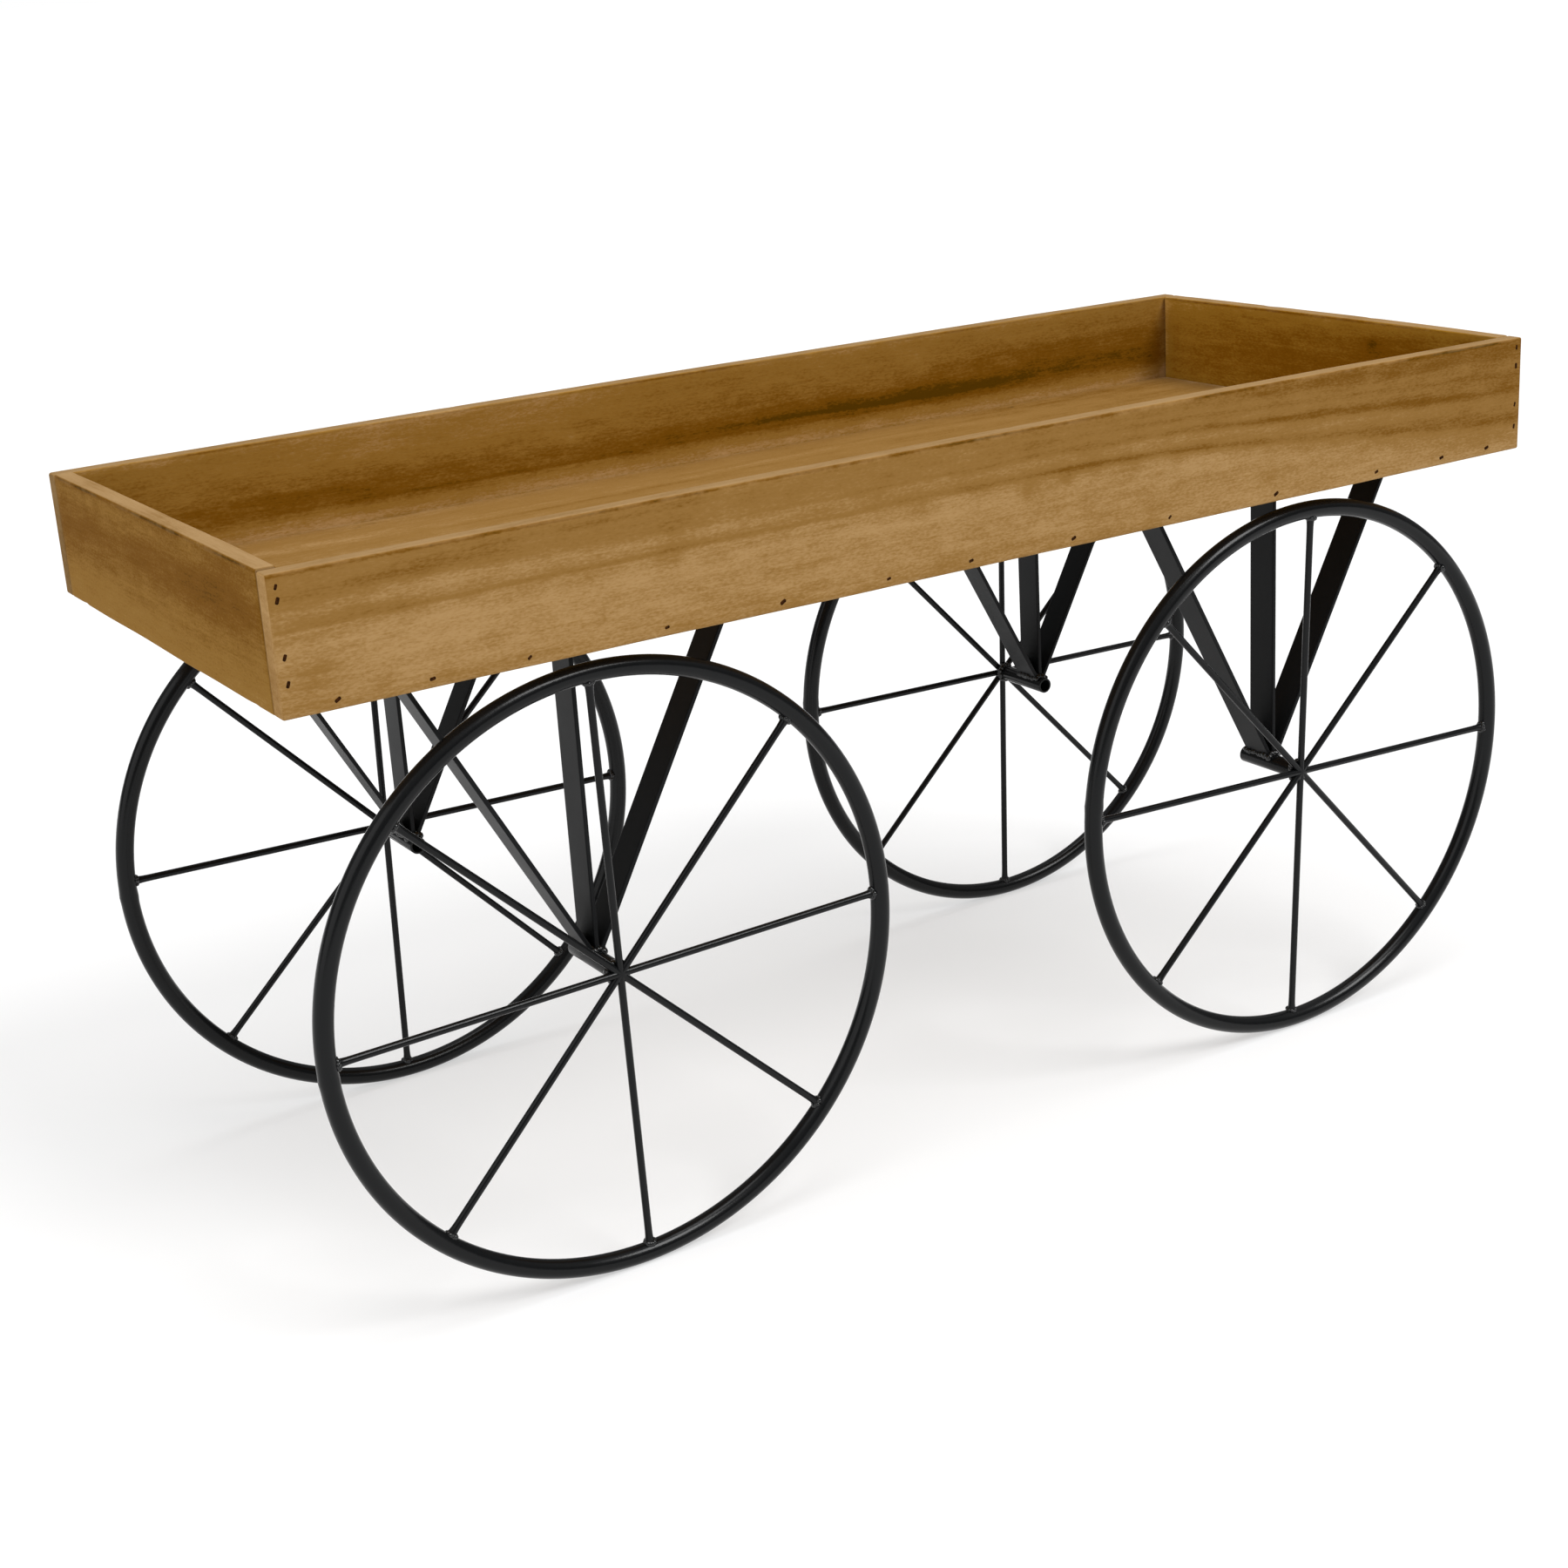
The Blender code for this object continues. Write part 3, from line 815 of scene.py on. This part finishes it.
def legPath(hub, lean, footSide, start, underside):
    # stations (x, z, heading x, heading z) up the leg, round its bend and along its foot
    heading = Vector((math.sin(lean), math.cos(lean)))
    footHeading = Vector((footSide, 0.0))
    footHeight = underside - leg["thickness"] / 2 - hub.z
    corner = heading * (footHeight / math.cos(lean))
    turn = heading.angle_signed(footHeading)
    reach = leg["bend"] * math.tan(abs(turn) / 2)
    bendStart = corner - heading * reach
    side = math.copysign(1.0, turn)
    bendCentre = bendStart + side * leg["bend"] * Vector((heading.y, -heading.x))
    stations = []
    straight = (bendStart - heading * start).length
    for step in range(leg["straightSteps"]):
        stations.append((heading * (start + straight * step / leg["straightSteps"]), heading))
    for step in range(leg["bendSteps"] + 1):
        swing = lean + turn * step / leg["bendSteps"]
        lie = Vector((math.sin(swing), math.cos(swing)))
        outward = Vector((lie.y, -lie.x)) * side
        stations.append((bendCentre - leg["bend"] * outward, lie))
    stations.append((corner + footHeading * leg["foot"], footHeading))
    return stations


def legMesh(name, hub, lean, footSide, low, high, stubRadius):
    width = high.y - low.y
    corner = leg["corner"]
    stations = legPath(hub, lean, footSide, stubRadius - leg["sunkInStub"], high.z)
    (start, startLie), *between, (toe, toeLie) = stations
    # the section is drawn in at both ends, and full size one corner further on
    rows = [(start, startLie, corner), (start + startLie * corner, startLie, 0.0)]
    rows += [(place, lie, 0.0) for place, lie in between]
    rows += [(toe - toeLie * corner, toeLie, 0.0), (toe, toeLie, corner)]
    rings = []
    for place, lie, inset in rows:
        shape = section(
            leg["thickness"] / 2 - inset, width / 2 - inset, [max(corner - inset, corner / 6)] * 4,
            steps=3, divisionsA=2, divisionsB=4)
        across = Vector((lie.y, -lie.x))
        rings.append([
            Vector((
                hub.x + place.x + across.x * a, (low.y + high.y) / 2 + b,
                hub.z + place.y + across.y * a))
            for a, b, _, _ in shape])
    return skin(name, rings)


footSpots = []
for wheelName in wheels:
    sizes = wheelSizes(wheelName)
    hub = sizes["hub"]
    stubName = wheelName + "_stub_tube"
    tube = addObject(stubName, stubMesh(stubName, *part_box(wheelName + "_stub_axle")), barPaint)
    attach(tube, "root")
    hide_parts(wheelName + "_stub_axle")
    inner = -math.copysign(1, hub.x)      # towards the wagon's middle
    for legName, lean, footSide in (("left", -1, -1), ("middle", 0, inner), ("right", 1, 1)):
        low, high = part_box(f"{wheelName}_leg_{legName}")
        pieceName = f"{wheelName}_{legName}_leg_bar"
        lie = math.radians(leg["spread"]) * lean
        mesh = legMesh(pieceName, hub, lie, footSide, low, high, sizes["stubRadius"])
        bar = addObject(pieceName, mesh, legPaint)
        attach(bar, "root")
        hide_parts(f"{wheelName}_leg_{legName}")
        footEnd = high.x if footSide > 0 else low.x
        footSpots.append(Vector((
            footEnd - footSide * leg["screwFromToe"], (low.y + high.y) / 2, high.z - leg["thickness"])))
print("stub axles and legs made")


weld = {
    "rippleScale": 0.42,      # pitch of the ripples, as a share of the bead's width
    "unevenness": 0.30, "stray": 0.35, "rippleSides": 10, "rippleRings": 6,
    "hubRing": 0.0044, "hubWidth": 0.0044, "hubBehind": 0.0006,
    "rimRing": 0.0030, "rimWidth": 0.0036, "rimSunk": 0.0002,
    "stubWidth": 0.0052, "stubBehind": 0.0042,
    "legWidth": 0.0050, "legProud": 0.0008, "legSides": (-1.42, -0.5, 0.5, 1.42),
}
weldGrowth = weldTree()


def drawPaths(name, paths):
    # a scratch curve with one spline for each path of (points, closed)
    curve = bpy.data.curves.new(name, "CURVE")
    curve.dimensions = "3D"
    for points, closed in paths:
        spline = curve.splines.new("POLY")
        spline.points.add(len(points) - 1)
        for point, place in zip(spline.points, points):
            point.co = (*place, 1.0)
        spline.use_cyclic_u = closed
    return addObject(name, curve)


def ringPath(centre, axisA, axisB, radius, first=0.0, last=360.0, steps=32):
    closed = last - first >= 360
    points = []
    for step in range(steps if closed else steps + 1):
        angle = math.radians(first + (last - first) * step / steps)
        points.append(centre + radius * (axisA * math.cos(angle) + axisB * math.sin(angle)))
    return points, closed


def weldPiece(name, paths, width, seed):
    drawn = drawPaths(name + "_path", paths)
    bead = grow(name, weldGrowth, {
        "Path": drawn, "Ripple Pitch": width * weld["rippleScale"], "Width": width,
        "Height": width, "Unevenness": weld["unevenness"], "Seed": seed, "Material": weldPaint})
    bpy.data.curves.remove(drawn.data)
    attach(bead, "root")
    return bead


right = Vector((1, 0, 0))
up = Vector((0, 0, 1))
for number, (wheelName, own) in enumerate(wheels.items()):
    sizes = wheelSizes(wheelName)
    hub = sizes["hub"]
    inward = Vector((0, -math.copysign(1, hub.y), 0))
    legLow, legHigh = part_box(wheelName + "_leg_middle")
    stubRadius = sizes["stubRadius"]

    rimJoints = []
    innerRadius = sizes["radius"] - sizes["rimBar"]
    for step in range(wheel["spokes"]):
        angle = math.radians(own["turn"] + 360 * step / wheel["spokes"])
        outward = right * math.cos(angle) + up * math.sin(angle)
        tangent = up * math.cos(angle) - right * math.sin(angle)
        rimJoints.append(ringPath(
            hub + outward * (innerRadius + weld["rimSunk"]), tangent, inward, weld["rimRing"], steps=16))
    joints = weldPiece(wheelName + "_rim_welds", rimJoints, weld["rimWidth"], 40 + number)

    hubRing = [ringPath(hub + inward * weld["hubBehind"], right, up, weld["hubRing"])]
    crossing = weldPiece(wheelName + "_hub_weld", hubRing, weld["hubWidth"], 50 + number)

    endWeld = [ringPath(hub + inward * weld["stubBehind"], right, up, stubRadius)]
    collar = weldPiece(wheelName + "_stub_weld", endWeld, weld["stubWidth"], 60 + number)

    seams = []
    nearY = legLow.y if inward.y > 0 else legHigh.y
    legEdge = Vector((hub.x, nearY, hub.z))
    legWidth = legHigh.y - legLow.y
    for lean in weld["legSides"]:
        angle = math.radians(leg["spread"] * lean)
        outward = right * math.sin(angle) + up * math.cos(angle)
        spot = legEdge + outward * (stubRadius + weld["legProud"])
        seams.append(([spot + inward * legWidth * step / 8 for step in range(9)], False))
    furthest = leg["spread"] * max(weld["legSides"])
    seams.append(ringPath(
        legEdge, up, right, stubRadius + weld["legProud"], -furthest, furthest, steps=12))
    legBeads = weldPiece(wheelName + "_leg_welds", seams, weld["legWidth"], 70 + number)
print("welds made")


nails = {
    "headLength": 0.0039, "headWidth": 0.0020, "rim": 0.00025, "proud": 0.00025, "sunk": 0.0012,
    "tilt": 24, "cornerTilt": 84,
    "rowHeight": 0.0058,      # above the boards' lower edge
    "row": [-0.466, -0.407, -0.344, -0.250, -0.166, -0.085, -0.019,
            0.067, 0.152, 0.251, 0.350, 0.417, 0.465],
    "cornerInset": 0.006,
    "leftCorner": [0.0768, 0.0689, 0.0361, 0.0205],
    "rightCorner": [0.0776, 0.0637, 0.0346, 0.0179],
    "colour": (58, 31, 10),
}
screws = {
    "head": 0.0072, "height": 0.0021, "flat": 0.30, "dome": 0.6, "sides": 28, "colour": (120, 118, 112),
    "slot": 0.0011, "slotLength": 0.58, "slotDepth": 0.0012,
}
fastenerGrowth = fastenerTree()


def guideMesh(name, spots):
    # vertices that carry the way each fastener faces and how it is turned
    mesh = bpy.data.meshes.new(name)
    mesh.from_pydata([spot[0] for spot in spots], [], [])
    mesh.attributes.new("facing", "FLOAT_VECTOR", "POINT")
    mesh.attributes.new("spin", "FLOAT", "POINT")
    for index, (_, direction, turn) in enumerate(spots):
        mesh.attributes["facing"].data[index].vector = direction
        mesh.attributes["spin"].data[index].value = turn
    return addObject(name, mesh)


def nailHead():
    # a small oblong head with a soft rim, lying on XY and rising along Z
    rings = []
    levels = ((-nails["sunk"], 0.0), (nails["proud"] * 0.4, 0.0), (nails["proud"], nails["rim"]))
    for height, inset in levels:
        halfLength = nails["headLength"] / 2 - inset
        halfWidth = nails["headWidth"] / 2 - inset
        rings.append([
            Vector((a, b, height))
            for a, b, _, _ in section(halfLength, halfWidth, [halfWidth * 0.75] * 4, 4, 2, 2)])
    return addObject("nail_head", skin("nail_head", rings))


def screwHead():
    # a pan head with a cross recess
    radius = screws["head"] / 2
    rings = []
    for angle in (math.radians(15 * step) for step in range(7)):
        reach = radius * max(max(math.cos(angle), 0.0) ** screws["dome"], screws["flat"])
        height = screws["height"] * math.sin(angle)
        turns = [math.tau * side / screws["sides"] for side in range(screws["sides"])]
        rings.append([Vector((reach * math.cos(turn), reach * math.sin(turn), height)) for turn in turns])
    head = addObject("screw_head", skin("screw_head", rings))
    for turned in (0, 90):
        bpy.ops.mesh.primitive_cube_add(size=1, location=(0, 0, screws["height"]))
        cutter = bpy.context.object
        cutter.scale = (screws["head"] * screws["slotLength"], screws["slot"], screws["slotDepth"] * 2)
        cutter.rotation_euler.z = math.radians(turned)
        recess = head.modifiers.new("recess", "BOOLEAN")
        recess.operation = "DIFFERENCE"
        recess.object = cutter
        shape = head.evaluated_get(bpy.context.evaluated_depsgraph_get())
        cut = bpy.data.meshes.new_from_object(shape)
        head.modifiers.remove(recess)
        head.data = cut
        bpy.data.objects.remove(cutter)
    return head


def fastenerMaterial(name, colour, metallic, roughness):
    material, sheet, shader = newMaterial(name, {"Metallic": metallic, "IOR": 1.08})
    place = sheet.place()
    stain = sheet.cloud(place, scale=700.0, detail=3.0)
    tone = sheet.tint(
        sheet.smooth(stain, 0.35, 0.70), screenColour(*colour),
        screenColour(*(value * 0.45 for value in colour)))
    relief = sheet.bump(0.3, 0.0002, stain)
    feed(sheet, shader, {"Base Color": tone, "Roughness": roughness + stain * 0.25, "Normal": relief})
    return material


def nailSpots(boardNode, side):
    low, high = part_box(boardNode)
    face = low.y if side < 0 else high.y
    direction = Vector((0, side, 0))
    # a vertex faces out of the board, and spin 0 lays the head level
    spots = []
    for run in nails["row"]:
        place = Vector((run * -side, face, low.z + nails["rowHeight"]))
        spots.append((place, direction, math.radians(nails["tilt"])))
    for heights, end in ((nails["leftCorner"], -1), (nails["rightCorner"], 1)):
        for height in heights:
            place = Vector((end * -side * (high.x - nails["cornerInset"]), face, low.z + height))
            spots.append((place, direction, math.radians(nails["cornerTilt"])))
    return spots


nailFinish = fastenerMaterial("darkened_nail", nails["colour"], 0.0, 0.55)
screwFinish = fastenerMaterial("zinc_screw", screws["colour"], 0.9, 0.28)
head = nailHead()
for sideName, side in (("front", -1), ("back", 1)):
    guide = guideMesh(f"{sideName}_nail_guide", nailSpots(f"side_board_{sideName}", side))
    heads = grow(f"{sideName}_board_nails", fastenerGrowth, {
        "Guide": guide, "Fastener": head, "Size Spread": 0.20, "Turn Spread": 0.32,
        "Seed": 5 + side, "Material": nailFinish})
    bpy.data.objects.remove(guide)
    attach(heads, "root")
bpy.data.objects.remove(head)

screw = screwHead()
guide = guideMesh("screw_guide", [(spot, Vector((0, 0, -1)), 0.0) for spot in footSpots])
footScrews = grow("foot_screws", fastenerGrowth, {
    "Guide": guide, "Fastener": screw, "Size Spread": 0.0, "Turn Spread": 1.5, "Seed": 9,
    "Material": screwFinish})
bpy.data.objects.remove(guide)
bpy.data.objects.remove(screw)
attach(footScrews, "root")
print("nails and screws made")


studio = {
    "floor": (176, 176, 176), "floorGlow": 0.52, "floorReach": 300.0,
    "horizon": 0.12, "zenith": 0.50,
    "suns": [
        # strength, degrees right of the front, degrees above the floor, width in degrees
        (2.0, 26, 48, 26), (1.2, 0, 86, 36), (0.9, -80, 24, 60)],
}
shot = {
    "place": (-0.9445, -1.4675, 0.8162), "heading": 31.35, "down": 18.81, "roll": -3.63,
    "lens": 55.96, "film": 36.0,
}


def addFloor():
    mesh = bpy.data.meshes.new("studio_floor")
    reach = studio["floorReach"]
    mesh.from_pydata(
        [(-reach, -reach, 0), (reach, -reach, 0), (reach, reach, 0), (-reach, reach, 0)], [], [(0, 1, 2, 3)])
    material, sheet, shader = newMaterial("pale_floor", {"Specular IOR Level": 0.1})
    place = sheet.place()
    drift = sheet.cloud(place, scale=1.5)
    shade = sheet.tint(drift, stained(studio["floor"], 1.0), stained(studio["floor"], 1.02))
    feed(sheet, shader, {"Base Color": shade, "Roughness": 0.75 + drift * 0.1})
    shader.inputs["Emission Color"].default_value = (1.0, 1.0, 1.0, 1.0)
    shader.inputs["Emission Strength"].default_value = studio["floorGlow"]
    floor = addObject("studio_floor", mesh, material)


def addLights():
    for number, (strength, side, height, width) in enumerate(studio["suns"]):
        lamp = bpy.data.lights.new(f"soft_sun_{number}", "SUN")
        lamp.energy = strength
        lamp.angle = math.radians(width)
        sun = addObject(lamp.name, lamp)
        sun.rotation_euler = (math.radians(90 - height), 0, math.radians(side))
    world = bpy.data.worlds.new("studio")
    world.use_nodes = True
    sheet = Sheet(world.node_tree)
    sky = world.node_tree.nodes["Background"]
    direction = sheet.node("ShaderNodeTexCoord", output="Generated")
    upward = sheet.smooth(sheet.parts(direction)[2], 0.0, 0.9)
    glow = studio["horizon"] + upward * (studio["zenith"] - studio["horizon"])
    seen = sheet.node("ShaderNodeLightPath", output="Is Camera Ray")
    level = glow + (1.0 - glow) * seen
    sheet.tree.links.new(level.socket, sky.inputs["Strength"])
    sky.inputs["Color"].default_value = (1.0, 1.0, 1.0, 1.0)
    bpy.context.scene.world = world


def addCamera():
    heading, down, roll = (math.radians(shot[key]) for key in ("heading", "down", "roll"))
    lens = bpy.data.cameras.new("camera")
    lens.lens = shot["lens"]
    lens.sensor_width = shot["film"]
    lens.clip_end = 1000
    camera = addObject("camera", lens)
    aim = Matrix.Rotation(-heading, 4, "Z") @ Matrix.Rotation(math.pi / 2 - down, 4, "X")
    camera.matrix_world = Matrix.Translation(shot["place"]) @ aim @ Matrix.Rotation(roll, 4, "Z")
    bpy.context.scene.camera = camera


addFloor()
addLights()
addCamera()
bpy.context.scene.view_settings.view_transform = "Standard"
print("studio made")
